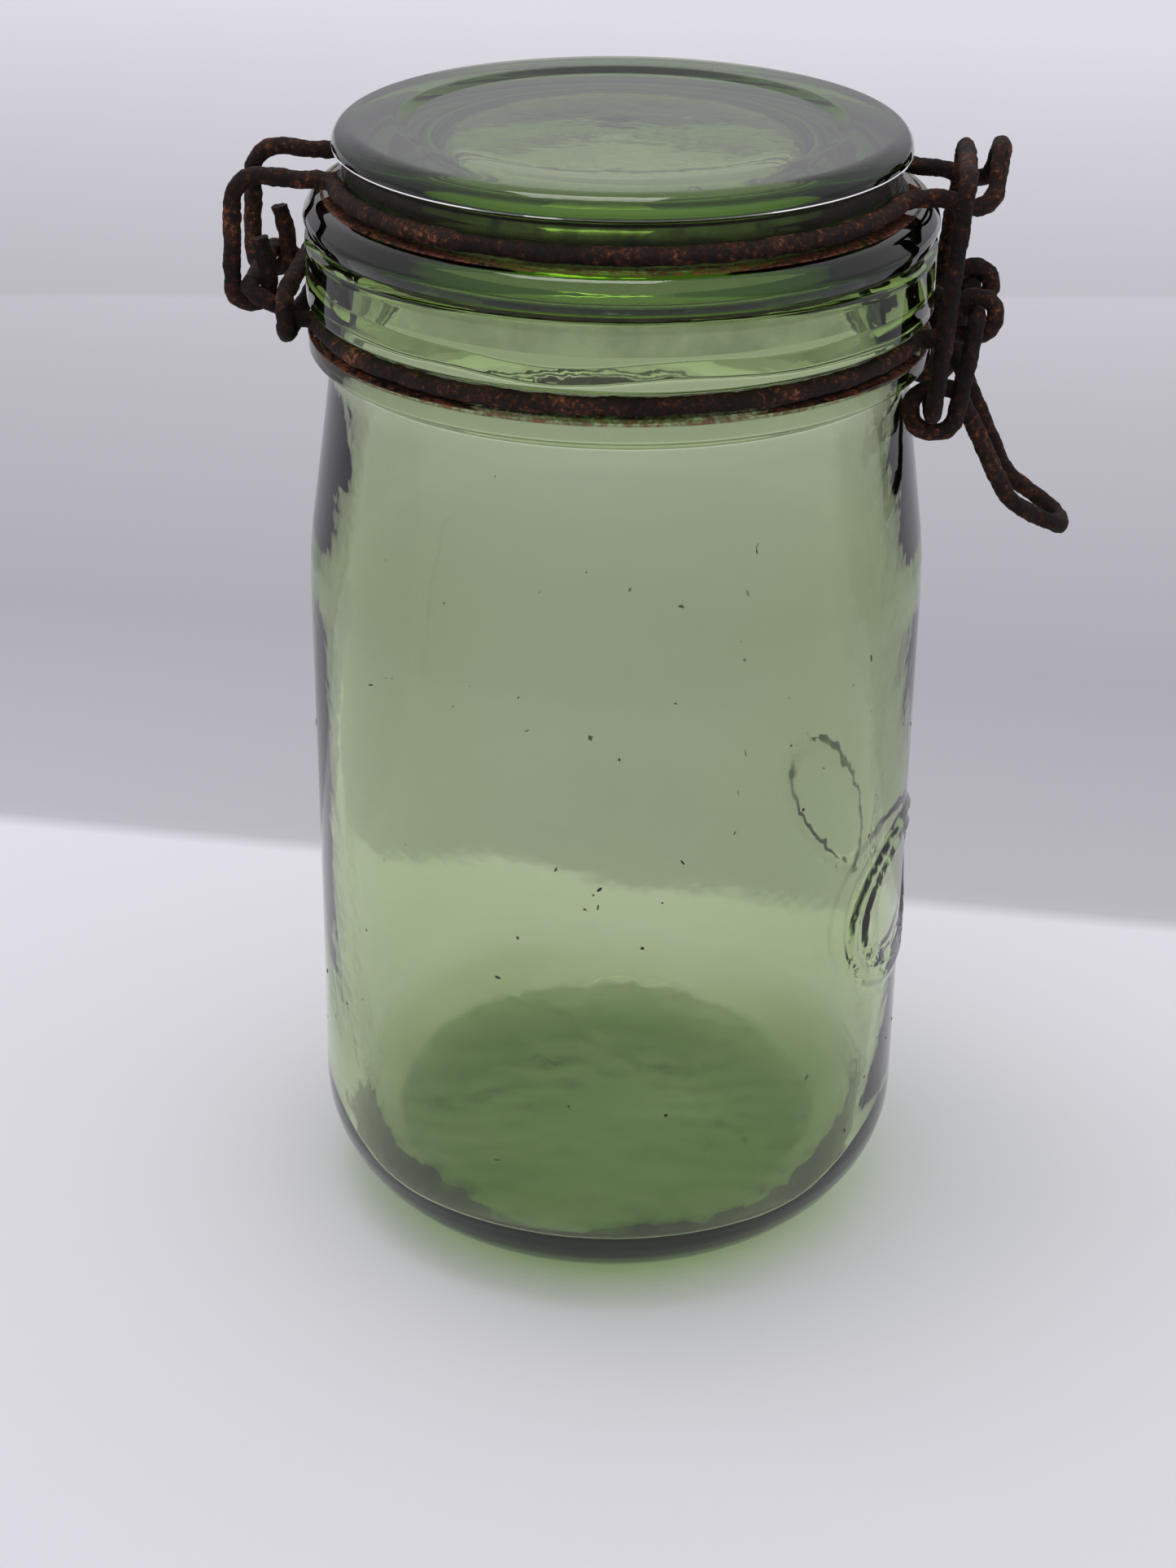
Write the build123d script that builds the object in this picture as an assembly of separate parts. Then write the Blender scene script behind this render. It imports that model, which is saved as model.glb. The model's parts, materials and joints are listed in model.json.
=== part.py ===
from build123d import *
import os
from math import asin, cos, degrees, radians, sin, sqrt

# A lidded glass canister with a wire bail closure. The jar stands on the XY plane with its axis on Z.
# The hinge of the lid is on the -X side and the latch is on the +X side. All sizes are in millimetres.

# --- Driving dimensions --------------------------------------------------------------------------

WIRE = 2.8  # diameter of every wire
WIRE_R = WIRE / 2

TOTAL_H = 190.0  # top of the lid's rim above the table

# jar body
BODY_R = 50.6
NECK_R = 46.6  # the waist under the collar
FINISH_R = 49.8  # the band above the neck wire
MOUTH_R = 41.5
MOUTH_ROUND = 2.0  # rounding from the mouth's wall to the rim
RIM_Z = 172.2  # the land that carries the sealing ring
COLLAR_BOTTOM_Z = 154.4
HEEL_R = 20.0  # rounding from wall to base
WALL = 4.4
FLOOR_Z = 9.0
FLOOR_ROUND = 16.0  # rounding from the inner wall to the floor
PUSH_UP_R = 22.0
PUSH_UP_H = 1.6
STAND_R = 25.0  # inner edge of the ring that the jar stands on
SHOULDER_Z = 112.0  # where the straight wall ends outside
MOUTH_Z = 157.0  # lower end of the mouth's straight wall

# blank oval panel and blank round seal that stand proud of the wall
RELIEF_H = 0.7
RELIEF_ROOT = 1.5  # how far a relief reaches into the wall
PANEL_AZ = -12.0
PANEL_Z = 62.0
PANEL_W = 21.0  # half width
PANEL_H = 14.5  # half height
SEAL_AZ = 42.0
SEAL_Z = 66.0
SEAL_R = 9.5
PANEL_RINGS = ((0, 1.3), (4.2, 5.2))  # outer and inner edge of each ring, in from the panel's edge

# sealing ring
SEAL_RING_T = 0.9
SEAL_RING_IN = 42.0
SEAL_RING_OUT = 47.4

# glass lid
LID_UNDER_Z = RIM_Z + SEAL_RING_T + 0.3
DISC_R = 45.6
RECESS_R = 33.3
RECESS_D = 0.8
CROWN_T = 4.8  # glass between the recess and the hollow underside
HOLLOW_R = 27.6
FLANGE_R = 50.2
PLUG_R = 39.6
PLUG_H = 2.9

# neck wire, held in the groove of the finish
NECK_WIRE_Z = 160.0
NECK_WIRE_R = 48.35
NECK_BEND = 2.4  # centre line radius where the neck wire turns out into its arms
GROOVE_CLEAR = 0.06

# hinge, on the -X side
PIN_X = -57.7
PIN_Z = 164.6
HOOK_Y = 9.2  # planes of the two hooks of the lid wire
ARM_Y = 12.3  # planes of the two arms of the neck wire
PIN_BEND = 2.0  # rounding at each end of the pin
TIE_GAP = 0.25  # from the glass to the link that ties the arms
TIE_BEND = 2.9
HOOK_CLEAR = 0.08
HOOK_R = WIRE + HOOK_CLEAR  # centre line of a hook round the pin
HOOK_SLACK = 0.35  # how far the bottom of a hook hangs under the pin

# lid wire, in the groove under the lid's rim
LID_WIRE_Z = 181.4
LID_WIRE_R = 45.2
NOSE_X = 58.6  # tip of the nose that the link's bar sits behind
NOSE_Z = 187.4
NOSE_HALF = 2.1

# latch, on the +X side
EYE_X = 56.1
EYE_Z = 162.8
EYE_Y = 8.0
EYE_R = 3.0  # centre line of a neck wire's eye
EYE_END = 172  # the angle at which an eye's wire stops, from the X axis
LATCH_ARM_Y = 12.2  # planes of the neck wire's two runs towards the eyes
LEVER_Y = 11.1  # planes of the lever's legs beside the eyes
LINK_X = 49.9  # where the link's ends turn in the lever's loops
LINK_Z = 148.8
LOOP_HALF = 3.3  # half the side of a loop's centre line
LOOP_BEND = 3.0
LOOP_Y_OUT = 14.2
LOOP_Y_IN = 11.0
LINK_Y = 17.3
BAR_FRONT = (53.2, -14.2, 186.0)  # the two upper corners of the link
BAR_REAR = (54.0, 14.2, 184.0)
HANDLE_KNEE = (63.4, -6.8, 131.6)
HANDLE_TIP = (72.4, -3.2, 126.2)


# --- Helpers -------------------------------------------------------------------------------------


def wire_rod(path):
    """One round wire along a path."""
    start = path.position_at(0)
    return sweep(Plane(start, z_dir=path.tangent_at(0)) * Circle(WIRE_R), path=path)


def mirrored(points):
    """The same points on the other side of the XZ plane, in reverse order."""
    return [(x, -y, z) for x, y, z in reversed(points)]


def bent(points, radii, close=False):
    """Straight runs with a rounded bend at each inner point, or at every point of a closed path."""
    return FilletPolyline(*points, radius=radii, close=close)


def arc_in_plane(radius, centre, start, end, z_dir=(0, 0, 1), x_dir=(1, 0, 0)):
    """An arc of a circle, from one angle to another in degrees."""
    plane = Plane(centre, x_dir=x_dir, z_dir=z_dir)
    return Edge.make_circle(radius, plane, start, end)


def turn_out(ring_r, half_gap, bend_r):
    """Where a ring that lies round the jar bends outwards into a run along X.

    Gives the x of the bend's centre and the angle at which the ring ends, from the X axis."""
    x = sqrt((ring_r + bend_r) ** 2 - (half_gap + bend_r) ** 2)
    return x, degrees(asin((half_gap + bend_r) / (ring_r + bend_r)))


def side_of_ring(ring_r, z, hinge, latch):
    """The front half of a ring, from its hinge side run to its latch side run.

    hinge and latch are each the half gap between the runs and the radius of the bend."""
    (gap_h, bend_h), (gap_l, bend_l) = hinge, latch
    x_h, a_h = turn_out(ring_r, gap_h, bend_h)
    x_l, a_l = turn_out(ring_r, gap_l, bend_l)
    first = arc_in_plane(bend_h, (-x_h, -gap_h - bend_h, z), a_h, 90)
    ring = arc_in_plane(ring_r, (0, 0, z), 180 + a_h, 360 - a_l)
    last = arc_in_plane(bend_l, (x_l, -gap_l - bend_l, z), 90, 180 - a_l)
    return (-x_h, x_l), [first, ring, last]


def flipped(edges):
    """Edges mirrored in the XZ plane."""
    return [edge.mirror(Plane.XZ) for edge in edges]


def save(shape, name, colour):
    shape.label = name
    shape.color = Color(colour)
    export_step(shape, f"parts/{name}.step")


# --- Glass ---------------------------------------------------------------------------------------


def raised(outline, azimuth, z):
    """A relief that stands RELIEF_H proud of the wall, with the given flat outline."""
    place = Plane((0, 0, z), x_dir=(-sin(radians(azimuth)), cos(radians(azimuth)), 0),
                  z_dir=(cos(radians(azimuth)), sin(radians(azimuth)), 0))
    block = extrude(place * outline, amount=2 * BODY_R)
    upwards = (Align.CENTER, Align.CENTER, Align.MIN)
    skin = Cylinder(BODY_R + RELIEF_H, SHOULDER_Z, align=upwards)
    core = Cylinder(BODY_R - RELIEF_ROOT, SHOULDER_Z, align=upwards)
    return block & (skin - core)


def make_jar_body():
    inner_r = BODY_R - WALL
    groove_r = NECK_WIRE_R - WIRE_R - GROOVE_CLEAR
    groove_h = WIRE_R + 0.3
    foot_r = BODY_R - HEEL_R
    with BuildPart() as jar:
        with BuildSketch(Plane.XZ):
            with BuildLine():
                Line((0, PUSH_UP_H), (PUSH_UP_R, PUSH_UP_H))
                Line((PUSH_UP_R, PUSH_UP_H), (STAND_R, 0))
                Line((STAND_R, 0), (foot_r, 0))
                CenterArc((foot_r, HEEL_R), HEEL_R, -90, 90)
                Line((BODY_R, HEEL_R), (BODY_R, SHOULDER_Z))
                Spline((BODY_R, SHOULDER_Z), (49.4, 131), (47.5, 143), (NECK_R, 149.5), (NECK_R, 152.6),
                       tangents=[(0, 1), (0, 1)])
                Polyline((NECK_R, 152.6), (NECK_R + 1.2, 153.8), (49.0, COLLAR_BOTTOM_Z),
                         (FINISH_R - 0.1, 155.6), (FINISH_R - 0.1, NECK_WIRE_Z - groove_h - 0.9),
                         (groove_r + 0.9, NECK_WIRE_Z - groove_h))
                ThreePointArc((groove_r + 0.9, NECK_WIRE_Z - groove_h), (groove_r, NECK_WIRE_Z),
                              (groove_r + 0.9, NECK_WIRE_Z + groove_h))
                Polyline((groove_r + 0.9, NECK_WIRE_Z + groove_h), (FINISH_R, NECK_WIRE_Z + groove_h + 0.9),
                         (FINISH_R, RIM_Z - 1.6))
                ThreePointArc((FINISH_R, RIM_Z - 1.6), (FINISH_R - 0.47, RIM_Z - 0.47),
                              (FINISH_R - 1.6, RIM_Z))
                Line((FINISH_R - 1.6, RIM_Z), (MOUTH_R + MOUTH_ROUND, RIM_Z))
                CenterArc((MOUTH_R + MOUTH_ROUND, RIM_Z - MOUTH_ROUND), MOUTH_ROUND, 90, 90)
                Line((MOUTH_R, RIM_Z - MOUTH_ROUND), (MOUTH_R, MOUTH_Z))
                Spline((MOUTH_R, MOUTH_Z), (42.2, 148), (44.6, 134), (inner_r, SHOULDER_Z + 2),
                       tangents=[(0, -1), (0, -1)])
                Line((inner_r, SHOULDER_Z + 2), (inner_r, FLOOR_Z + FLOOR_ROUND))
                CenterArc((inner_r - FLOOR_ROUND, FLOOR_Z + FLOOR_ROUND), FLOOR_ROUND, 0, -90)
                Line((inner_r - FLOOR_ROUND, FLOOR_Z), (0, FLOOR_Z))
                Line((0, FLOOR_Z), (0, PUSH_UP_H))
            make_face()
        revolve(axis=Axis.Z)
    body = jar.part
    for outer, inner in PANEL_RINGS:
        ring = Ellipse(PANEL_W - outer, PANEL_H - outer) - Ellipse(PANEL_W - inner, PANEL_H - inner)
        body += raised(ring, PANEL_AZ, PANEL_Z)
    body += raised(Circle(SEAL_R), SEAL_AZ, SEAL_Z)
    return body


def make_glass_lid():
    groove_r = LID_WIRE_R - WIRE_R - GROOVE_CLEAR
    top = TOTAL_H
    under = LID_UNDER_Z
    recess_z = top - RECESS_D
    plug_z = under - PLUG_H
    crown_z = recess_z - CROWN_T
    edge_x = RECESS_R + 0.3
    with BuildPart() as lid:
        with BuildSketch(Plane.XZ):
            with BuildLine():
                Line((0, recess_z), (RECESS_R, recess_z))
                Line((RECESS_R, recess_z), (edge_x, recess_z + 0.3))
                ThreePointArc((edge_x, recess_z + 0.3), (edge_x + 1.07, top - 0.13), (edge_x + 2.2, top))
                Line((edge_x + 2.2, top), (DISC_R - 2.2, top))
                ThreePointArc((DISC_R - 2.2, top), (DISC_R - 0.3, top - 1.1), (DISC_R, top - 2.2))
                ThreePointArc((DISC_R, top - 2.2), (DISC_R - 0.5, top - 3.4), (DISC_R - 1.7, top - 3.9))
                Polyline((DISC_R - 1.7, top - 3.9), (groove_r - 0.5, top - 4.4),
                         (groove_r - 0.5, LID_WIRE_Z + 3.2), (groove_r + 0.3, LID_WIRE_Z + 2.6),
                         (groove_r + 0.3, LID_WIRE_Z + 1.9))
                ThreePointArc((groove_r + 0.3, LID_WIRE_Z + 1.9), (groove_r - 0.1, LID_WIRE_Z),
                              (groove_r + 0.8, LID_WIRE_Z - 1.6))
                Line((groove_r + 0.8, LID_WIRE_Z - 1.6), (FLANGE_R - 3.4, under + 6.0))
                ThreePointArc((FLANGE_R - 3.4, under + 6.0), (FLANGE_R - 0.2, under + 3.6),
                              (FLANGE_R - 1.0, under))
                Line((FLANGE_R - 1.0, under), (PLUG_R + 0.8, under))
                Line((PLUG_R + 0.8, under), (PLUG_R, under - 0.8))
                Line((PLUG_R, under - 0.8), (PLUG_R - 0.4, plug_z))
                Line((PLUG_R - 0.4, plug_z), (PLUG_R - 3.4, plug_z))
                Line((PLUG_R - 3.4, plug_z), (PLUG_R - 4.4, under + 2))
                Spline((PLUG_R - 4.4, under + 2), (PLUG_R - 7.5, crown_z - 1.2), (HOLLOW_R, crown_z),
                       tangents=[(-0.1, 1), (-1, 0)])
                Line((HOLLOW_R, crown_z), (0, crown_z))
                Line((0, crown_z), (0, recess_z))
            make_face()
        revolve(axis=Axis.Z)
    return lid.part


def make_sealing_ring():
    ring = Circle(SEAL_RING_OUT) - Circle(SEAL_RING_IN)
    return extrude(Plane((0, 0, RIM_Z)) * ring, amount=SEAL_RING_T)


# --- Wires ---------------------------------------------------------------------------------------


def neck_wire_path():
    """One wire: eye, round the front, out to the hinge pin, round the back, eye."""
    (x_h, x_l), front = side_of_ring(NECK_WIRE_R, NECK_WIRE_Z, (ARM_Y, NECK_BEND),
                                     (LATCH_ARM_Y, NECK_BEND))
    hinge_half = [(x_h, -ARM_Y, NECK_WIRE_Z), (x_h - 0.8, -ARM_Y, NECK_WIRE_Z), (PIN_X, -ARM_Y, PIN_Z)]
    hinge = bent(hinge_half + mirrored(hinge_half), [NECK_BEND, PIN_BEND, PIN_BEND, NECK_BEND])
    low = EYE_Z - EYE_R
    lead = bent([(x_l, -LATCH_ARM_Y, NECK_WIRE_Z), (x_l + 1.8, -LATCH_ARM_Y, NECK_WIRE_Z),
                 (EYE_X - 3.4, -EYE_Y, low), (EYE_X, -EYE_Y, low)], [NECK_BEND, NECK_BEND])
    eye = arc_in_plane(EYE_R, (EYE_X, -EYE_Y, EYE_Z), -90, EYE_END, z_dir=(0, -1, 0))
    half = front + lead.edges() + [eye]
    return Wire(half + hinge.edges() + flipped(half))


def hinge_tie_path():
    """A closed link of wire round both arms of the neck wire, close to the glass."""
    x = -FINISH_R - WIRE_R - TIE_GAP
    arm_z = NECK_WIRE_Z + WIRE_R  # height of an arm where the tie passes it
    top = arm_z + 1.17 * WIRE
    bottom = arm_z - 1.28 * WIRE
    side = ARM_Y + WIRE + 0.05
    corners = [(x, -side, top), (x, -side, bottom), (x, side, bottom), (x, side, top)]
    return bent(corners, [TIE_BEND] * len(corners), close=True)


def lid_wire_path():
    """One wire: hook, out of the hinge, round the front, the nose, round the back, hook."""
    (x_h, x_l), front = side_of_ring(LID_WIRE_R, LID_WIRE_Z, (HOOK_Y, 3.6), (HOOK_Y, 5.0))
    y = -HOOK_Y
    z = LID_WIRE_Z
    hook_out = PIN_X - HOOK_R
    hook_in = PIN_X + HOOK_R
    hook_low = PIN_Z - HOOK_R - HOOK_SLACK
    hook = bent([(x_h, y, z), (x_h - 4, y, z), (PIN_X - 2.2, y, z + 0.9), (hook_out, y, PIN_Z + 2.5),
                 (hook_out, y, hook_low), (hook_in, y, hook_low), (hook_in, y, PIN_Z + 2.2),
                 (hook_in - 1.2, y, PIN_Z + 7.4)],
                [8, 4.6, 10, HOOK_R - 0.02, HOOK_R - 0.02, 6])
    nose_half = [(x_l, y, z), (x_l + 2.4, y, z), (NOSE_X - 1.3, y + 0.4, z - 3.0),
                 (NOSE_X, -NOSE_HALF, NOSE_Z)]
    nose = bent(nose_half + mirrored(nose_half), [8, 4.0, 2.0, 2.0, 4.0, 8])
    half = front + hook.edges()
    return Wire(half + nose.edges() + flipped(half))


def latch_link_path():
    """A bail: two legs whose ends turn into the lever's loops, and a bar that sits behind the nose.

    The bar lies askew: its front end stands higher than its rear end."""
    end_y = LOOP_Y_IN - WIRE_R - 1.0
    foot = [(LINK_X, -end_y, LINK_Z), (LINK_X, -LINK_Y, LINK_Z)]
    return bent(foot + [BAR_FRONT, BAR_REAR] + mirrored(foot), [2.2, 2.6, 2.6, 2.2])


def latch_lever_path():
    """One wire: end in an eye, leg, a full loop round the link's end, handle, and back the same way."""
    step = (LOOP_Y_OUT - LOOP_Y_IN) / 4
    loop = [(LINK_X + LOOP_HALF, LINK_Z - LOOP_HALF), (LINK_X - LOOP_HALF, LINK_Z - LOOP_HALF),
            (LINK_X - LOOP_HALF, LINK_Z + LOOP_HALF), (LINK_X + LOOP_HALF + 0.4, LINK_Z + LOOP_HALF)]
    half = [(EYE_X, -EYE_Y + WIRE_R + 0.6, EYE_Z), (EYE_X, -LEVER_Y, EYE_Z)]
    half += [(x, -LOOP_Y_OUT + step * i, z) for i, (x, z) in enumerate(loop)]
    half += [HANDLE_KNEE, HANDLE_TIP]
    radii = [2.2] + [LOOP_BEND] * len(loop) + [9, 3.2]
    return bent(half + mirrored(half), radii + radii[::-1])


# --- Pieces --------------------------------------------------------------------------------------

os.makedirs("parts", exist_ok=True)

paths = {
    "neck_wire": neck_wire_path(),
    "hinge_tie": hinge_tie_path(),
    "lid_wire": lid_wire_path(),
    "latch_link": latch_link_path(),
    "latch_lever": latch_lever_path(),
}

save(make_jar_body(), "jar_body", "#91a082")
save(make_glass_lid(), "glass_lid", "#91a082")
save(make_sealing_ring(), "sealing_ring", "#2a2a24")
for name, path in paths.items():
    save(wire_rod(path), name, "#4a2c22")
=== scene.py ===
import json
import math

import bpy
from bpy.props import FloatProperty, FloatVectorProperty, IntProperty, PointerProperty
from mathutils import Matrix, Vector, noise


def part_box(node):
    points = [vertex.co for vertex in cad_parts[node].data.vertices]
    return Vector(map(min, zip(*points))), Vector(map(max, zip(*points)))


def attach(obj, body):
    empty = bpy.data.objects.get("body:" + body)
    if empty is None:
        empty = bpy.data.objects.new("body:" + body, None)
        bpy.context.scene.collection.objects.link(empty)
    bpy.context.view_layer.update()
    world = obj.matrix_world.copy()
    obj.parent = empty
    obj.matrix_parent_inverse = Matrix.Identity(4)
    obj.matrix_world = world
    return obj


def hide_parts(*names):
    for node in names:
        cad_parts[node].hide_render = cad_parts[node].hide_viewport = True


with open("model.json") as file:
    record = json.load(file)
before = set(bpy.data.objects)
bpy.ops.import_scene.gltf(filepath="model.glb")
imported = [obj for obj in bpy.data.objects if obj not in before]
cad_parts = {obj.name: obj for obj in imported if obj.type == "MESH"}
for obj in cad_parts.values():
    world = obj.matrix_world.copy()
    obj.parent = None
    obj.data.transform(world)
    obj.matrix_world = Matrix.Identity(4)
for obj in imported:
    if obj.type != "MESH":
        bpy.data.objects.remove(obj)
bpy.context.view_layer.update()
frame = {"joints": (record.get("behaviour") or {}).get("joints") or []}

bl_info = {
    "name": "Glass Canister",
    "version": (1, 0, 0),
    "blender": (4, 5, 0),
    "location": "View3D > Sidebar > Canister",
    "description": "Builds a lidded glass canister with a rusted wire bail round its CAD frame",
    "category": "Object",
}

# --- Sizes from the frame ------------------------------------------------------------------------

MM = 0.001
JAR_LOW, JAR_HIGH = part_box("jar_body")
LID_LOW, LID_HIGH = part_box("glass_lid")
SEAL_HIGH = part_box("sealing_ring")[1]
BODY_R = -JAR_LOW.x / MM
RIM_Z = JAR_HIGH.z / MM
TOP_Z = LID_HIGH.z / MM
FLANGE_R = LID_HIGH.x / MM
PLUG_LOW = LID_LOW.z / MM
SEAL_TOP = SEAL_HIGH.z / MM
SEAL_OUT = SEAL_HIGH.x / MM
UNDER_Z = SEAL_TOP + 0.3
HINGE = {joint["name"]: Vector(joint["pos_m"]) / MM for joint in frame["joints"]}
PIN = HINGE["lid_hinge"]
EYE = HINGE["lever_pivot"]
LOOP = HINGE["link_pivot"]

# Groove that the neck wire lies in, and the groove of the lid's wire: height and centre line radius.
NECK_WIRE = (160.0, 48.35)
LID_WIRE = (181.4, 45.2)

# How far a wire's centre line lies from the bottom of its groove, in the jar and in the lid.
NECK_BED = 1.46
LID_BED = 1.5

# Inside of the jar, in millimetres: wall, mouth's radius, floor's height and its flat middle's radius,
# the bank of glass round it at the sides and rear, and how uneven the ledge under the mouth is.
WALL = 4.4
MOUTH_R = 41.5
FLOOR_Z = 12.0
POOL_R = 37.2
BANK_H = 6.5
LEDGE_WAVE = 1.5

# Blank reliefs on the outer wall: turn round the jar in degrees, height and size in millimetres.
OVAL_TURN = -12.0
OVAL_Z = 62.0
OVAL_HALF_WIDTH = 21.0
OVAL_HALF_HEIGHT = 14.5
STAMP_TURN = 34.0
STAMP_Z = 59.0
STAMP_R = 10.6

# Camera: place in metres, its turns in degrees, lens and sensor in millimetres.
CAMERA_PLACE = (0.0276, -0.4515, 0.3023)
CAMERA_HEADING = 4.04
CAMERA_TILT = 63.25
CAMERA_ROLL = 0.62
LENS = 67.26
SENSOR = 36.0

# Lamp overhead, in metres, and how far the floor lies under the standing face, in millimetres.
LAMP_SIZE = (0.5, 0.4)
LAMP_PLACE = (-0.12, 0.0, 1.1)
FLOOR_DROP = 0.02


# --- Colours -------------------------------------------------------------------------------------


def linear(code, alpha=1.0):
    """An sRGB hex colour as linear numbers."""
    parts = [int(code[i:i + 2], 16) / 255 for i in (1, 3, 5)]
    return (*[c / 12.92 if c <= 0.04045 else ((c + 0.055) / 1.055) ** 2.4 for c in parts], alpha)


# --- Settings ------------------------------------------------------------------------------------


class GlassSettings(bpy.types.PropertyGroup):
    """Sizes and tint of the pressed glass."""

    segments: IntProperty(name="Segments", description="Faces round the jar", default=360, min=64)
    wave: FloatProperty(
        name="Wall wave", description="How far the inner wall strays", default=0.55 * MM, unit="LENGTH")
    wave_size: FloatProperty(
        name="Wave size", description="Width of a wave in the wall", default=26 * MM, unit="LENGTH")
    relief: FloatProperty(
        name="Relief", description="How far the blank reliefs stand out", default=0.65 * MM, unit="LENGTH")
    tint: FloatVectorProperty(
        name="Tint", description="Colour that the glass lets through", subtype="COLOR", size=3,
        default=(0.42, 0.59, 0.06), min=0, max=1)
    density: FloatProperty(
        name="Depth of tint", description="Absorption for each metre of glass", default=100.0, min=0)
    lid_density: FloatProperty(
        name="Lid's depth of tint", description="Absorption for each metre of the lid",
        default=185.0, min=0)


class WireSettings(bpy.types.PropertyGroup):
    """Sizes and colours of the rusted wire."""

    radius: FloatProperty(
        name="Radius", description="Radius of the sound wire", default=1.40 * MM, unit="LENGTH")
    crust: FloatProperty(
        name="Crust", description="How uneven the crust of rust is", default=0.85 * MM, unit="LENGTH")
    step: FloatProperty(
        name="Step", description="Length of one face along a wire", default=0.33 * MM, unit="LENGTH")
    dark: FloatVectorProperty(
        name="Dark crust", description="Old hard rust", subtype="COLOR", size=3,
        default=linear("#150906")[:3], min=0, max=1)
    orange: FloatVectorProperty(
        name="Fresh rust", description="Powdery orange rust", subtype="COLOR", size=3,
        default=linear("#8a5534")[:3], min=0, max=1)


class StageSettings(bpy.types.PropertyGroup):
    """The light and the floor."""

    key: FloatProperty(name="Overhead light", description="Power in watts", default=3.1, min=0)
    fill: FloatProperty(name="Room light", description="Strength of the room", default=0.96, min=0)
    floor_half: FloatProperty(
        name="Floor", description="Half the side of the floor", default=2.4, unit="LENGTH")


# --- Mesh helpers --------------------------------------------------------------------------------


def rounded(corners, close=False, turn_step=math.radians(9)):
    """Points along straight runs, with each corner rounded. A corner is a point and its radius."""
    points = []
    count = len(corners)
    for i, (place, radius) in enumerate(corners):
        here = Vector(place)
        if radius == 0 or (not close and i in (0, count - 1)):
            points.append(here)
            continue
        back = (Vector(corners[i - 1][0]) - here).normalized()
        ahead = (Vector(corners[(i + 1) % count][0]) - here).normalized()
        half = back.angle(ahead) / 2
        turn = math.pi - 2 * half
        centre = here + (back + ahead).normalized() * (radius / math.sin(half))
        start = here + back * (radius / math.tan(half)) - centre
        end = here + ahead * (radius / math.tan(half)) - centre
        steps = max(2, math.ceil(turn / turn_step))
        for k in range(steps + 1):
            t = k / steps
            mixed = start * math.sin((1 - t) * turn) + end * math.sin(t * turn)
            points.append(centre + mixed / math.sin(turn))
    return points


def divided(points, longest):
    """The same line with no run longer than longest."""
    found = [points[0]]
    for before, after in zip(points, points[1:]):
        parts = max(1, math.ceil((after - before).length / longest))
        found += [before.lerp(after, k / parts) for k in range(1, parts + 1)]
    return found


def outline(corners, longest):
    """A half section, from corners of radius, height and rounding in millimetres."""
    line = rounded([((r, 0, z), rounding) for r, z, rounding in corners])
    return divided(line, longest)


def new_piece(name, vertices, faces):
    mesh = bpy.data.meshes.new(name)
    mesh.from_pydata([[c * MM for c in v] for v in vertices], [], faces)
    mesh.validate()
    mesh.polygons.foreach_set("use_smooth", [True] * len(mesh.polygons))
    piece = bpy.data.objects.new(name, mesh)
    bpy.context.scene.collection.objects.link(piece)
    return piece


def lathe(name, section, segments, shape=None, closed=False):
    """Turns a half section round Z. shape(azimuth, r, z, index) gives a point's own r and z.

    A section that starts or ends on the axis is closed there with one point. A closed one
    joins its ends."""
    vertices = []
    rings = []
    for index, point in enumerate(section):
        if point.x < 1e-6:
            rings.append([len(vertices)])
            vertices.append((0, 0, shape(0, 0, point.z, index)[1] if shape else point.z))
            continue
        rings.append(list(range(len(vertices), len(vertices) + segments)))
        for k in range(segments):
            azimuth = math.tau * k / segments
            r, z = shape(azimuth, point.x, point.z, index) if shape else (point.x, point.z)
            vertices.append((r * math.cos(azimuth), r * math.sin(azimuth), z))
    faces = []
    for low, high in zip(rings, rings[1:] + rings[:1] if closed else rings[1:]):
        for k in range(segments):
            a, b = low[k % len(low)], low[(k + 1) % len(low)]
            c, d = high[(k + 1) % len(high)], high[k % len(high)]
            corners = list(dict.fromkeys((a, b, c, d)))
            faces.append(corners)
    return new_piece(name, vertices, faces)


def strip_of(section, lift):
    """A line moved off the surface by lift, for a film that lies on the glass."""
    moved = []
    for index, point in enumerate(section):
        before = section[max(0, index - 1)]
        after = section[min(len(section) - 1, index + 1)]
        along = (after - before).normalized()
        moved.append(point + Vector((along.z, 0, -along.x)) * lift)
    return moved


def wave_at(azimuth, radius, z, size, seed, flat=1.0):
    """Smooth noise from -1 to 1 round the jar. flat stretches it along Z."""
    place = Vector((radius * math.cos(azimuth), radius * math.sin(azimuth), z * flat)) / size
    return noise.noise(place + Vector((seed, seed * 1.7, -seed)))


def smooth_step(low, high, value):
    t = min(1.0, max(0.0, (value - low) / (high - low)))
    return t * t * (3 - 2 * t)


def finished(piece, node, body):
    """Stands for a CAD node, which it hides, and rides on its body."""
    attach(piece, body)
    if node:
        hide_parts(node)
    return piece


# --- Node helper ---------------------------------------------------------------------------------


def add(tree, kind, inputs=None, **settings):
    """Adds a node with its settings, and sets or links its inputs."""
    node = tree.nodes.new(kind)
    for name, value in settings.items():
        setattr(node, name, value)
    for name, value in (inputs or {}).items():
        if isinstance(value, bpy.types.NodeSocket):
            tree.links.new(value, node.inputs[name])
        else:
            node.inputs[name].default_value = value
    return node


def blank_material(name):
    material = bpy.data.materials.new(name)
    material.use_nodes = True
    tree = material.node_tree
    tree.nodes.clear()
    return material, tree


def ramp(tree, factor, stops):
    """A colour ramp. stops are positions and colours."""
    node = add(tree, "ShaderNodeValToRGB", {"Fac": factor})
    elements = node.color_ramp.elements
    while len(elements) < len(stops):
        elements.new(0.5)
    for element, (position, colour) in zip(elements, stops):
        element.position = position
        element.color = colour
    return node.outputs["Color"]


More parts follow.
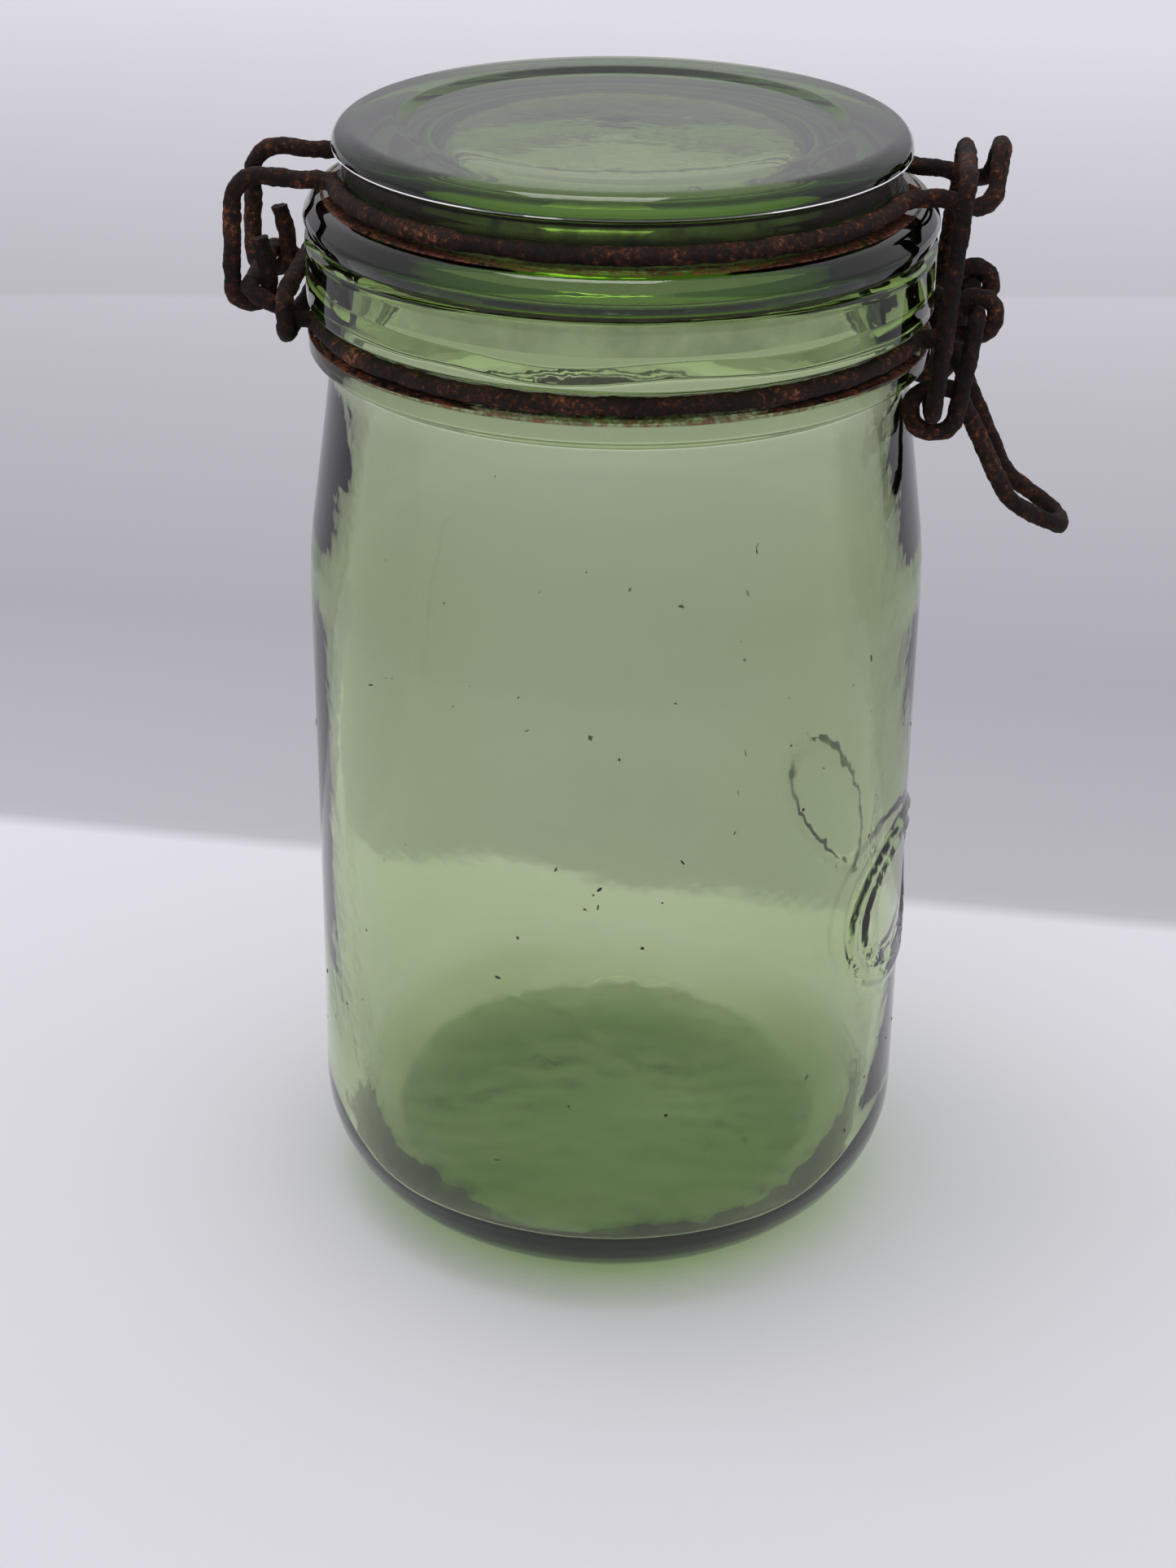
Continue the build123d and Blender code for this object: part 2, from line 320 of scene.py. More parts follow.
def noise_in(tree, vector, wavelength, detail=3.0, roughness=0.5):
    """Noise with a real wavelength in metres."""
    sizes = {"Vector": vector, "Scale": 1 / wavelength, "Detail": detail, "Roughness": roughness}
    return add(tree, "ShaderNodeTexNoise", sizes).outputs["Fac"]


# --- Materials -----------------------------------------------------------------------------------


def green_glass(name, density):
    """Clear green glass: a little wavy, with a faint bloom of dust. Shadows pass through it, tinted."""
    settings = bpy.context.scene.canister_glass
    material, tree = blank_material(name)
    place = add(tree, "ShaderNodeTexCoord").outputs["Object"]
    ripple = noise_in(tree, place, 7 * MM, 2.0)
    orange_peel = noise_in(tree, place, 1.6 * MM, 2.0)
    low = add(tree, "ShaderNodeBump", {"Height": ripple, "Strength": 0.25, "Distance": 0.25 * MM})
    fine = add(tree, "ShaderNodeBump", {
        "Height": orange_peel, "Strength": 0.1, "Distance": 0.04 * MM, "Normal": low.outputs["Normal"]})
    smears = noise_in(tree, place, 14 * MM, 5.0, 0.65)
    rough = add(tree, "ShaderNodeMapRange", {
        "Value": smears, "From Min": 0.45, "From Max": 0.75, "To Min": 0.0, "To Max": 0.08})
    shader = add(tree, "ShaderNodeBsdfPrincipled", {
        "Base Color": linear("#fbfdf9"), "Transmission Weight": 1.0, "IOR": 1.5,
        "Roughness": rough.outputs["Result"], "Normal": fine.outputs["Normal"]})
    clear = add(tree, "ShaderNodeBsdfTransparent", {"Color": linear("#fbfcfa")})
    shaded = add(tree, "ShaderNodeLightPath").outputs["Is Shadow Ray"]
    surface = add(tree, "ShaderNodeMixShader", {
        0: shaded, 1: shader.outputs["BSDF"], 2: clear.outputs["BSDF"]})
    depth = add(tree, "ShaderNodeVolumeAbsorption", {"Color": (*settings.tint, 1.0), "Density": density})
    add(tree, "ShaderNodeOutputMaterial", {
        "Surface": surface.outputs["Shader"], "Volume": depth.outputs["Volume"]})
    return material


def pressed_green_glass():
    """Pressed soda-lime glass, iron-green, of the jar."""
    return green_glass("pressed_green_glass", bpy.context.scene.canister_glass.density)


def thick_green_glass():
    """The same pressed glass in the lid, from a deeper green melt."""
    return green_glass("thick_green_glass", bpy.context.scene.canister_glass.lid_density)


def rusted_iron_wire():
    """Drawn iron wire, rusted through: a hard dark purple-brown crust, powdery orange in the pits."""
    settings = bpy.context.scene.canister_wire
    material, tree = blank_material("rusted_iron_wire")
    place = add(tree, "ShaderNodeTexCoord").outputs["Object"]
    patches = noise_in(tree, place, 9 * MM, 4.0, 0.6)
    grains = noise_in(tree, place, 0.9 * MM, 5.0, 0.7)
    pits = add(tree, "ShaderNodeTexVoronoi", {"Vector": place, "Scale": 1 / (0.8 * MM)}).outputs["Distance"]
    mixed = add(tree, "ShaderNodeMath", {0: grains, 1: 1.7, 2: patches}, operation="MULTIPLY_ADD")
    dark = (*settings.dark, 1.0)
    orange = (*settings.orange, 1.0)
    share = add(tree, "ShaderNodeMath", {0: mixed.outputs["Value"], 1: 2.7}, operation="DIVIDE")
    colour = ramp(tree, share.outputs["Value"], [
        (0.41, linear("#060303")), (0.47, dark), (0.53, linear("#29150e")),
        (0.59, linear("#4c2c1e")), (0.66, orange)])
    rough = add(tree, "ShaderNodeMapRange", {
        "Value": grains, "From Min": 0.35, "From Max": 0.65, "To Min": 0.62, "To Max": 0.95})
    grain_bump = add(tree, "ShaderNodeBump", {"Height": grains, "Strength": 1.0, "Distance": 0.3 * MM})
    pit_bump = add(tree, "ShaderNodeBump", {
        "Height": pits, "Strength": 0.5, "Distance": 0.12 * MM, "Normal": grain_bump.outputs["Normal"]})
    shader = add(tree, "ShaderNodeBsdfPrincipled", {
        "Base Color": colour, "Roughness": rough.outputs["Result"], "Specular IOR Level": 0.22,
        "Normal": pit_bump.outputs["Normal"]})
    add(tree, "ShaderNodeOutputMaterial", {"Surface": shader.outputs["BSDF"]})
    return material


def perished_rubber():
    """Natural rubber gone hard and black, with crumbs of dirt: dull, nearly no shine."""
    material, tree = blank_material("perished_rubber")
    place = add(tree, "ShaderNodeTexCoord").outputs["Object"]
    crumbs = noise_in(tree, place, 1.2 * MM, 4.0, 0.7)
    colour = ramp(tree, crumbs, [
        (0.35, linear("#14150d")), (0.55, linear("#2c2f1d")), (0.7, linear("#5a5a3c"))])
    bump = add(tree, "ShaderNodeBump", {"Height": crumbs, "Strength": 0.8, "Distance": 0.25 * MM})
    shader = add(tree, "ShaderNodeBsdfPrincipled", {
        "Base Color": colour, "Roughness": 0.85, "Normal": bump.outputs["Normal"]})
    add(tree, "ShaderNodeOutputMaterial", {"Surface": shader.outputs["BSDF"]})
    return material


def groove_grime():
    """Years of wet rust and grease packed in a groove of the lid: nearly black, dull, with gaps."""
    material, tree = blank_material("groove_grime")
    place = add(tree, "ShaderNodeTexCoord").outputs["Object"]
    blots = noise_in(tree, place, 5 * MM, 5.0, 0.7)
    colour = ramp(tree, blots, [
        (0.35, linear("#0b0906")), (0.62, linear("#241a0c")), (0.75, linear("#4a3212"))])
    cover = add(tree, "ShaderNodeMapRange", {
        "Value": blots, "From Min": 0.3, "From Max": 0.62, "To Min": 0.97, "To Max": 0.62})
    shader = add(tree, "ShaderNodeBsdfPrincipled", {
        "Base Color": colour, "Roughness": 0.75, "Alpha": cover.outputs["Result"]})
    add(tree, "ShaderNodeOutputMaterial", {"Surface": shader.outputs["BSDF"]})
    return material


def mouth_scum():
    """A thin olive scum dried on the inside of the mouth: see-through, dull, in streaks."""
    material, tree = blank_material("mouth_scum")
    place = add(tree, "ShaderNodeTexCoord").outputs["Object"]
    streaks = noise_in(tree, place, 8 * MM, 4.0, 0.6)
    cover = add(tree, "ShaderNodeMapRange", {
        "Value": streaks, "From Min": 0.35, "From Max": 0.7, "To Min": 0.1, "To Max": 0.42})
    shader = add(tree, "ShaderNodeBsdfPrincipled", {
        "Base Color": linear("#34500c"), "Roughness": 0.6, "Alpha": cover.outputs["Result"]})
    add(tree, "ShaderNodeOutputMaterial", {"Surface": shader.outputs["BSDF"]})
    return material


def rust_film():
    """A thin stain of rust that ran from the wire on to the glass: patchy, brown to ochre, dull."""
    material, tree = blank_material("rust_film")
    place = add(tree, "ShaderNodeTexCoord").outputs["Object"]
    patches = noise_in(tree, place, 7 * MM, 4.0, 0.65)
    spots = noise_in(tree, place, 1.1 * MM, 3.0, 0.6)
    both = add(tree, "ShaderNodeMath", {0: patches, 1: spots}, operation="ADD").outputs["Value"]
    colour = ramp(tree, spots, [(0.4, linear("#260e06")), (0.62, linear("#6b3312"))])
    cover = add(tree, "ShaderNodeMapRange", {
        "Value": both, "From Min": 0.78, "From Max": 1.1, "To Min": 0.1, "To Max": 0.85})
    shader = add(tree, "ShaderNodeBsdfPrincipled", {
        "Base Color": colour, "Roughness": 0.8, "Alpha": cover.outputs["Result"]})
    add(tree, "ShaderNodeOutputMaterial", {"Surface": shader.outputs["BSDF"]})
    return material


def dry_dirt():
    """Flecks of dry dirt and old paper: matt, dark brown."""
    material, tree = blank_material("dry_dirt")
    place = add(tree, "ShaderNodeTexCoord").outputs["Object"]
    tone = ramp(tree, noise_in(tree, place, 3 * MM), [(0.4, linear("#241d15")), (0.62, linear("#57493a"))])
    shader = add(tree, "ShaderNodeBsdfPrincipled", {"Base Color": tone, "Roughness": 0.95})
    add(tree, "ShaderNodeOutputMaterial", {"Surface": shader.outputs["BSDF"]})
    return material


def paper_with_painted_backdrop_shade():
    """Smooth white paper under the jar: matt, a cool grey, evenly pale near the jar; past it, painted shade
    and light of a curved backdrop, a darker grey band that brightens with distance, and a step in tone at
    the sheet's edge.
    """
    material, tree = blank_material("paper_with_painted_backdrop_shade")
    place = add(tree, "ShaderNodeTexCoord").outputs["Object"]
    far = add(tree, "ShaderNodeSeparateXYZ", {"Vector": place})
    tilt = add(tree, "ShaderNodeMath", {0: far.outputs["X"], 1: 0.1}, operation="MULTIPLY").outputs["Value"]
    edge = add(tree, "ShaderNodeMath", {0: far.outputs["Y"], 1: tilt}, operation="ADD").outputs["Value"]
    share = add(tree, "ShaderNodeMapRange", {
        "Value": edge, "From Min": 0.0, "From Max": 1.6, "To Min": 0.0, "To Max": 1.0}).outputs["Result"]
    # Painted shade: past the jar the floor carries a darker grey band that brightens with distance,
    # standing in for the shade and light on a curved backdrop.
    floor_and_painted_shade = ramp(tree, share, [
        (0.0, linear("#d8d7dd")), (0.0645, linear("#dcdbe1")), (0.0665, linear("#b6b5bb")),
        (0.14, linear("#a8a7ad")), (0.26, linear("#b9b8bd")), (0.6, linear("#f2f1f7"))])
    back = add(tree, "ShaderNodeMath", {0: far.outputs["Y"], 1: tilt}, operation="SUBTRACT")
    sheet = add(tree, "ShaderNodeMapRange", {
        "Value": back.outputs["Value"], "From Min": 0.518, "From Max": 0.524,
        "To Min": 1.03, "To Max": 0.93}).outputs["Result"]
    colour = add(tree, "ShaderNodeVectorMath", {0: floor_and_painted_shade, "Scale": sheet}, operation="SCALE")
    grain = noise_in(tree, place, 0.6 * MM, 4.0)
    bump = add(tree, "ShaderNodeBump", {"Height": grain, "Strength": 0.15, "Distance": 0.05 * MM})
    shader = add(tree, "ShaderNodeBsdfPrincipled", {
        "Base Color": colour.outputs["Vector"], "Roughness": 0.7, "Specular IOR Level": 0.2,
        "Normal": bump.outputs["Normal"]})
    add(tree, "ShaderNodeOutputMaterial", {"Surface": shader.outputs["BSDF"]})
    return material


def material_named(make):
    """The finish that a function makes, made once."""
    return bpy.data.materials.get(make.__name__) or make()


# --- Glass sections ------------------------------------------------------------------------------


def jar_outside():
    """From the middle of the base, up the outside to the rim."""
    groove_z, wire_r = NECK_WIRE
    groove_r = wire_r - NECK_BED
    return [
        (0, 0.9, 0), (13.0, 0.8, 30.0), (27.0, 0.0, 12.0), (BODY_R, 0.0, 20.0), (BODY_R, 120.0, 70.0),
        (47.4, 143.5, 30.0), (46.6, 150.0, 14.0), (46.6, 152.9, 0.9), (49.7, 154.6, 0.9),
        (49.7, groove_z - 2.4, 0.7), (groove_r, groove_z - 1.5, 0.9), (groove_r, groove_z + 1.5, 0.9),
        (49.8, groove_z + 2.4, 0.7), (49.8, RIM_Z, 1.6)]


def jar_inside():
    """From the rim down the mouth and the inner wall to the middle of the floor."""
    return [
        (MOUTH_R, RIM_Z, 2.0), (MOUTH_R, 165.0, 0.8), (43.3, 162.4, 2.0), (44.6, 135.0, 40.0),
        (BODY_R - WALL, 112.0, 40.0), (BODY_R - WALL, FLOOR_Z, 2.5), (0, FLOOR_Z, 0)]


def lid_section():
    """From the middle of the hollow underside, round the plug, flange and rim, to the recess's middle."""
    wire_z, wire_r = LID_WIRE
    neck_r = wire_r - LID_BED
    recess_z = TOP_Z - 0.8
    crown_z = recess_z - 4.8
    return [
        (0, crown_z, 0), (31.0, crown_z - 0.3, 8.0), (35.2, UNDER_Z, 3.0), (36.0, PLUG_LOW, 0.5),
        (39.3, PLUG_LOW, 0.5), (39.6, UNDER_Z, 0.5), (49.3, UNDER_Z, 1.1),
        (FLANGE_R, UNDER_Z + 2.6, 2.2), (FLANGE_R - 1.7, UNDER_Z + 5.3, 2.2),
        (neck_r + 1.2, wire_z - 1.7, 0.9), (neck_r - 0.1, wire_z, 1.0),
        (neck_r + 0.1, TOP_Z - 4.6, 0.8), (45.2, TOP_Z - 3.7, 0.8), (45.9, TOP_Z, 3.2),
        (35.4, TOP_Z, 2.4), (33.4, recess_z, 0.7), (0, recess_z, 0)]


def relief_at(azimuth, z):
    """Height of the blank oval frame and the blank round stamp, as a share of the relief's size."""
    height = 0.0
    across = BODY_R * math.remainder(azimuth - math.radians(OVAL_TURN), math.tau)
    oval = math.hypot(across / OVAL_HALF_WIDTH, (z - OVAL_Z) / OVAL_HALF_HEIGHT)
    for middle, half in ((0.95, 0.06), (0.75, 0.045)):
        height = max(height, 1 - smooth_step(half * 0.4, half * 1.3, abs(oval - middle)))
    across = BODY_R * math.remainder(azimuth - math.radians(STAMP_TURN), math.tau)
    stamp = math.hypot(across * 0.82, z - STAMP_Z)
    height = max(height, 1.6 * (1 - smooth_step(0.5, 1.6, abs(stamp - STAMP_R))))
    return max(height, 0.4 * (1 - smooth_step(10.0, 11.0, stamp)))


# --- Wire routes, in millimetres -----------------------------------------------------------------


def arc(radius, centre, start, end, plane="XY"):
    """Points of an arc between two angles in degrees. In plane XZ the angle turns from X to Z."""
    steps = max(6, math.ceil(abs(end - start) * math.radians(1) * radius / 0.5))
    points = []
    for k in range(steps + 1):
        angle = math.radians(start + (end - start) * k / steps)
        u, v = radius * math.cos(angle), radius * math.sin(angle)
        points.append(Vector(centre) + (Vector((u, v, 0)) if plane == "XY" else Vector((u, 0, v))))
    return points


def ring_side(ring_r, z, hinge, latch):
    """The front half of a ring round the jar, bent outwards at both ends.

    hinge and latch are each the half gap between the two runs and the radius of the bend."""
    places = []
    for gap, bend in (hinge, latch):
        x = math.sqrt((ring_r + bend) ** 2 - (gap + bend) ** 2)
        places.append((x, math.degrees(math.asin((gap + bend) / (ring_r + bend))), gap, bend))
    (x_h, a_h, gap_h, bend_h), (x_l, a_l, gap_l, bend_l) = places
    points = arc(bend_h, (-x_h, -gap_h - bend_h, z), 90, a_h)
    points += arc(ring_r, (0, 0, z), 180 + a_h, 360 - a_l)
    points += arc(bend_l, (x_l, -gap_l - bend_l, z), 180 - a_l, 90)
    return -x_h, x_l, points


def other_side(points):
    return [Vector((p.x, -p.y, p.z)) for p in reversed(points)]


def neck_wire_route():
    """Eye, round one side, out to the hinge pin, round the other side, eye."""
    z, ring_r = NECK_WIRE
    bend = 2.4
    arm_y = 12.3
    lead_y = 12.2
    eye_y = 8.0
    eye_r = 3.0
    x_h, x_l, front = ring_side(ring_r, z, (arm_y, bend), (lead_y, bend))
    low = EYE.z - eye_r
    lead = rounded([
        ((x_l, -lead_y, z), 0), ((x_l + 1.8, -lead_y, z), bend), ((EYE.x - 3.4, -eye_y, low), bend),
        ((EYE.x, -eye_y, low), 0)])
    eye = arc(eye_r, (EYE.x, -eye_y, EYE.z), -90, 172, "XZ")
    half = front + lead + eye
    pin = rounded([
        ((x_h, arm_y, z), 0), ((x_h - 0.8, arm_y, z), 2.5), ((PIN.x, arm_y, PIN.z), 2.0),
        ((PIN.x, -arm_y, PIN.z), 2.0), ((x_h - 0.8, -arm_y, z), 2.5), ((x_h, -arm_y, z), 0)])
    return other_side(half) + pin + half


def hinge_tie_route():
    """A closed link round both arms of the neck wire."""
    x = -51.45
    top, bottom, side = 164.676, 157.824, 15.15
    corners = [(x, -side, top), (x, -side, bottom), (x, side, bottom), (x, side, top)]
    return rounded([(corner, 2.9) for corner in corners], close=True)


def lid_wire_route():
    """Hook, round one side, the nose, round the other side, hook."""
    z, ring_r = LID_WIRE
    side = 9.2
    reach = 2.88
    slack = 0.35
    x_h, x_l, front = ring_side(ring_r, z, (side, 3.6), (side, 5.0))
    y = -side
    out, back = PIN.x - reach, PIN.x + reach
    low = PIN.z - reach - slack
    hook = rounded([
        ((x_h, y, z), 0), ((x_h - 4, y, z), 8), ((PIN.x - 2.2, y, z + 0.9), 4.6),
        ((out, y, PIN.z + 2.5), 10), ((out, y, low), 2.86), ((back, y, low), 2.86),
        ((back, y, PIN.z + 2.2), 6),
        ((back - 1.2, y, PIN.z + 7.4), 0)])
    rise = [
        ((x_l, y, z), 0), ((x_l + 2.4, y, z), 8), ((57.3, y + 0.4, 178.4), 4.0),
        ((58.6, -2.1, 187.4), 2.0)]
    fall = [((x, -across, height), radius) for (x, across, height), radius in reversed(rise)]
    nose = rounded(rise + fall)
    half = list(reversed(hook)) + front
    return half + nose + other_side(half)


def latch_link_route():
    """Two legs whose feet turn into the lever's loops, and a bar that lies askew behind the nose."""
    foot = 8.6
    side = 17.3
    return rounded([
        ((LOOP.x, -foot, LOOP.z), 0), ((LOOP.x, -side, LOOP.z), 2.2), ((53.2, -14.2, 186.0), 2.6),
        ((54.0, 14.2, 184.0), 2.6), ((LOOP.x, side, LOOP.z), 2.2), ((LOOP.x, foot, LOOP.z), 0)])


def latch_lever_route():
    """End in an eye, leg, a full loop round the link's foot, handle, and back the same way."""
    half = 3.3
    outer, inner = 14.2, 11.0
    corners = [((EYE.x, -6.0, EYE.z), 0), ((EYE.x, -11.1, EYE.z), 2.2)]
    square = [(half, -half), (-half, -half), (-half, half), (half + 0.4, half)]
    for i, (x, z) in enumerate(square):
        y = -outer + (outer - inner) / 4 * i
        corners.append(((LOOP.x + x, y, LOOP.z + z), 3.0))
    corners += [((63.4, -6.8, 131.6), 9.0), ((72.4, -3.2, 126.2), 3.2)]
    rest = [((x, -y, z), radius) for (x, y, z), radius in reversed(corners)]
    return rounded(corners + rest)


# --- Geometry node trees -------------------------------------------------------------------------


def node_group(name, sizes):
    """A tree with Geometry and named float inputs, and its group input and output nodes."""
    tree = bpy.data.node_groups.new(name, "GeometryNodeTree")
    tree.interface.new_socket("Geometry", in_out="INPUT", socket_type="NodeSocketGeometry")
    for size in sizes:
        tree.interface.new_socket(size, in_out="INPUT", socket_type="NodeSocketFloat")
    tree.interface.new_socket("Geometry", in_out="OUTPUT", socket_type="NodeSocketGeometry")
    return tree, add(tree, "NodeGroupInput")


def finish_tree(tree, geometry, material):
    whole = add(tree, "GeometryNodeRealizeInstances", {"Geometry": geometry})
    painted = add(tree, "GeometryNodeSetMaterial", {
        "Geometry": whole.outputs["Geometry"], "Material": material})
    add(tree, "NodeGroupOutput", {"Geometry": painted.outputs["Geometry"]})
    return tree


def applied(piece, tree, sizes):
    """Gives the piece the tree's result as a plain mesh."""
    modifier = piece.modifiers.new("shape", "NODES")
    modifier.node_group = tree
    for item in tree.interface.items_tree:
        if item.in_out == "INPUT" and item.name in sizes:
            modifier[item.identifier] = sizes[item.name]
    depsgraph = bpy.context.evaluated_depsgraph_get()
    mesh = bpy.data.meshes.new_from_object(piece.evaluated_get(depsgraph), depsgraph=depsgraph)
    piece.modifiers.clear()
    piece.data = mesh
    mesh.name = piece.name
    return piece


def wire_tree():
    """Sweeps a round wire along a line of edges and roughens it with a crust."""
    found = bpy.data.node_groups.get("rusted_wire")
    if found:
        return found
    tree, given = node_group("rusted_wire", ["Radius", "Step", "Crust"])
    line = add(tree, "GeometryNodeMeshToCurve", {"Mesh": given.outputs["Geometry"]})
    even = add(tree, "GeometryNodeResampleCurve", {
        "Curve": line.outputs["Curve"], "Length": given.outputs["Step"]}, mode="LENGTH")
    ring = add(tree, "GeometryNodeCurvePrimitiveCircle", {
        "Resolution": 22, "Radius": given.outputs["Radius"]})
    tube = add(tree, "GeometryNodeCurveToMesh", {
        "Curve": even.outputs["Curve"], "Profile Curve": ring.outputs["Curve"], "Fill Caps": True})
    place = add(tree, "GeometryNodeInputPosition").outputs["Position"]
    scale = noise_in(tree, place, 4.5 * MM, 2.0)
    flakes = noise_in(tree, place, 1.4 * MM, 3.0, 0.6)
    weight = add(tree, "ShaderNodeMath", {0: flakes, 1: 0.8}, operation="MULTIPLY").outputs["Value"]
    both = add(tree, "ShaderNodeMath", {0: scale, 1: weight}, operation="ADD").outputs["Value"]
    centred = add(tree, "ShaderNodeMath", {0: both, 1: 0.9}, operation="SUBTRACT").outputs["Value"]
    depth = add(tree, "ShaderNodeMath", {0: centred, 1: given.outputs["Crust"]}, operation="MULTIPLY")
    normal = add(tree, "GeometryNodeInputNormal").outputs["Normal"]
    push = add(
        tree, "ShaderNodeVectorMath", {0: normal, "Scale": depth.outputs["Value"]}, operation="SCALE")
    rough = add(tree, "GeometryNodeSetPosition", {
        "Geometry": tube.outputs["Mesh"], "Offset": push.outputs["Vector"]})
    smooth = add(tree, "GeometryNodeSetShadeSmooth", {"Geometry": rough.outputs["Geometry"]})
    return finish_tree(tree, smooth.outputs["Geometry"], material_named(rusted_iron_wire))


def fleck_tree():
    """Scatters small flat flecks of dirt over a surface."""
    tree, given = node_group("dirt_flecks", ["Per square metre", "Size"])
    spread = add(tree, "GeometryNodeDistributePointsOnFaces", {
        "Mesh": given.outputs["Geometry"], "Density": given.outputs["Per square metre"], "Seed": 7})
    grain = add(tree, "GeometryNodeMeshIcoSphere", {"Radius": given.outputs["Size"], "Subdivisions": 2})
    length = add(tree, "FunctionNodeRandomValue", {
        "Min": (0.4, 0.4, 0.12), "Max": (1.0, 2.2, 0.3), "Seed": 3}, data_type="FLOAT_VECTOR")
    spin = add(tree, "FunctionNodeRandomValue", {
        "Min": (0, 0, 0), "Max": (0, 0, 6.28), "Seed": 5}, data_type="FLOAT_VECTOR")
    turned = add(tree, "FunctionNodeRotateEuler", {
        "Rotation": spread.outputs["Rotation"], "Rotate By": spin.outputs["Value"]},
        rotation_type="EULER", space="LOCAL")
    placed = add(tree, "GeometryNodeInstanceOnPoints", {
        "Points": spread.outputs["Points"], "Instance": grain.outputs["Mesh"],
        "Rotation": turned.outputs["Rotation"], "Scale": length.outputs["Value"]})
    return finish_tree(tree, placed.outputs["Instances"], material_named(dry_dirt))


def make_wire(name, route, body, close=False):
    """One wire, swept along its route and crusted with rust."""
    settings = bpy.context.scene.canister_wire
    kept = [route[0]]
    for point in route[1:]:
        if (point - kept[-1]).length > 0.05:
            kept.append(point)
    edges = [(i, i + 1) for i in range(len(kept) - 1)]
    if close:
        edges.append((len(kept) - 1, 0))
    mesh = bpy.data.meshes.new(name)
    mesh.from_pydata([[c * MM for c in point] for point in kept], edges, [])
    piece = bpy.data.objects.new(name + "_rusted", mesh)
    bpy.context.scene.collection.objects.link(piece)
    sizes = {"Radius": settings.radius, "Step": settings.step, "Crust": settings.crust}
    applied(piece, wire_tree(), sizes)
    return finished(piece, name, body)


# --- Operators -----------------------------------------------------------------------------------


class CANISTER_OT_jar(bpy.types.Operator):
    """Makes the jar of pressed glass, with its wavy wall and thick uneven floor"""

    bl_idname = "canister.jar"
    bl_label = "Glass jar"

    def execute(self, context):
        settings = context.scene.canister_glass
        outside = outline(jar_outside(), 1.2)
        inside = outline([(49.0, RIM_Z, 0)] + jar_inside(), 3.2)[1:]
        turn = next(i for i, point in enumerate(inside) if point.z < FLOOR_Z + 3)
        section = outside + inside[:turn] + divided(inside[turn:], 1.0)
        rim = len(outside) - 1
        wave = settings.wave / MM
        size = settings.wave_size / MM
        relief = settings.relief / MM

        def shape(azimuth, r, z, index):
            quiet = 1 - smooth_step(118, 146, z)
            if index <= rim:
                swell = 0.14 * wave_at(azimuth, r, z, size, 4.0, 0.6) * quiet * smooth_step(3, 22, z)
                return r + swell + relief * relief_at(azimuth, z) if r > BODY_R - 2 else r + swell, z
            low = 1 - smooth_step(FLOOR_Z, 32, z)
            sway = (wave_at(azimuth, r, z, size, 11.0, 0.5) * wave * quiet
                    * smooth_step(24, 42, r) * (1 - low))
            slump = (wave_at(azimuth, r, 0.0, 21.0, 31.0) * 1.3
                     + wave_at(azimuth, r, 0.0, 5.0, 37.0) * 0.45)
            slump *= low * smooth_step(0, 12, r) * (1 - smooth_step(38, 43, r))
            back = math.sin(azimuth)
            pool_r = POOL_R + 3.5 * max(0, back) ** 2 - wave_at(azimuth, 24.0, 0.0, 15.0, 23.0) * 4.0
            rise = min(1, max(0, r - pool_r) / (BODY_R - WALL - pool_r))
            bank = BANK_H * rise * smooth_step(-0.8, -0.2, back) * low
            ledge = LEDGE_WAVE * wave_at(azimuth, 30.0, 0.0, 15.0, 41.0) * smooth_step(155, 161, z)
            return r + sway, z + slump + bank + ledge * (1 - smooth_step(165.5, 169, z))

        jar = lathe("jar_glass", section, settings.segments, shape)
        jar.data.materials.append(material_named(pressed_green_glass))
        finished(jar, "jar_body", "jar")
        return {"FINISHED"}


class CANISTER_OT_lid(bpy.types.Operator):
    """Makes the glass lid, with its recess, its wire groove and its hollow underside"""

    bl_idname = "canister.lid"
    bl_label = "Glass lid"

    def execute(self, context):
        settings = context.scene.canister_glass
        section = outline(lid_section(), 2.0)

        def shape(azimuth, r, z, index):
            if z > TOP_Z - 4 and r < 44:
                return r, z + 0.03 * wave_at(azimuth, r, 0.0, 19.0, 3.0)
            if z > UNDER_Z + 2 and r < 34:
                return r, z + 0.04 * wave_at(azimuth, r, 0.0, 20.0, 8.0)
            return r, z

        lid = lathe("lid_glass", section, settings.segments, shape)
        lid.data.materials.append(material_named(thick_green_glass))
        finished(lid, "glass_lid", "lid")
        return {"FINISHED"}


class CANISTER_OT_seal(bpy.types.Operator):
    """Makes the thin perished sealing ring with its broken edge"""

    bl_idname = "canister.seal"
    bl_label = "Sealing ring"

    def execute(self, context):
        low, high = RIM_Z + 0.03, SEAL_TOP
        section = rounded([
            ((42.2, 0, low), 0.2), ((SEAL_OUT, 0, low), 0.25), ((SEAL_OUT, 0, high), 0.25),
            ((42.2, 0, high), 0.2)], close=True)

        def shape(azimuth, r, z, index):
            crumble = wave_at(azimuth, r, z, 2.2, 5.0) * 0.5 + wave_at(azimuth, r, z, 9.0, 6.0) * 0.6
            edge = smooth_step(44, 47, r)
            return r + crumble * edge - 0.25 * edge, min(high, z + 0.1 * crumble * (z > low + 0.4))

        ring = lathe("sealing_rubber", section, 360, shape, closed=True)
        ring.data.materials.append(material_named(perished_rubber))
        finished(ring, "sealing_ring", "jar")
        return {"FINISHED"}


class CANISTER_OT_neck_wires(bpy.types.Operator):
    """Makes the neck wire and the link that ties its arms"""

    bl_idname = "canister.neck_wires"
    bl_label = "Neck wire and tie"

    def execute(self, context):
        make_wire("neck_wire", neck_wire_route(), "jar")
        make_wire("hinge_tie", hinge_tie_route(), "jar", close=True)
        return {"FINISHED"}


class CANISTER_OT_lid_wire(bpy.types.Operator):
    """Makes the wire round the lid, with its hooks and its nose"""

    bl_idname = "canister.lid_wire"
    bl_label = "Lid wire"

    def execute(self, context):
        make_wire("lid_wire", lid_wire_route(), "lid")
        return {"FINISHED"}


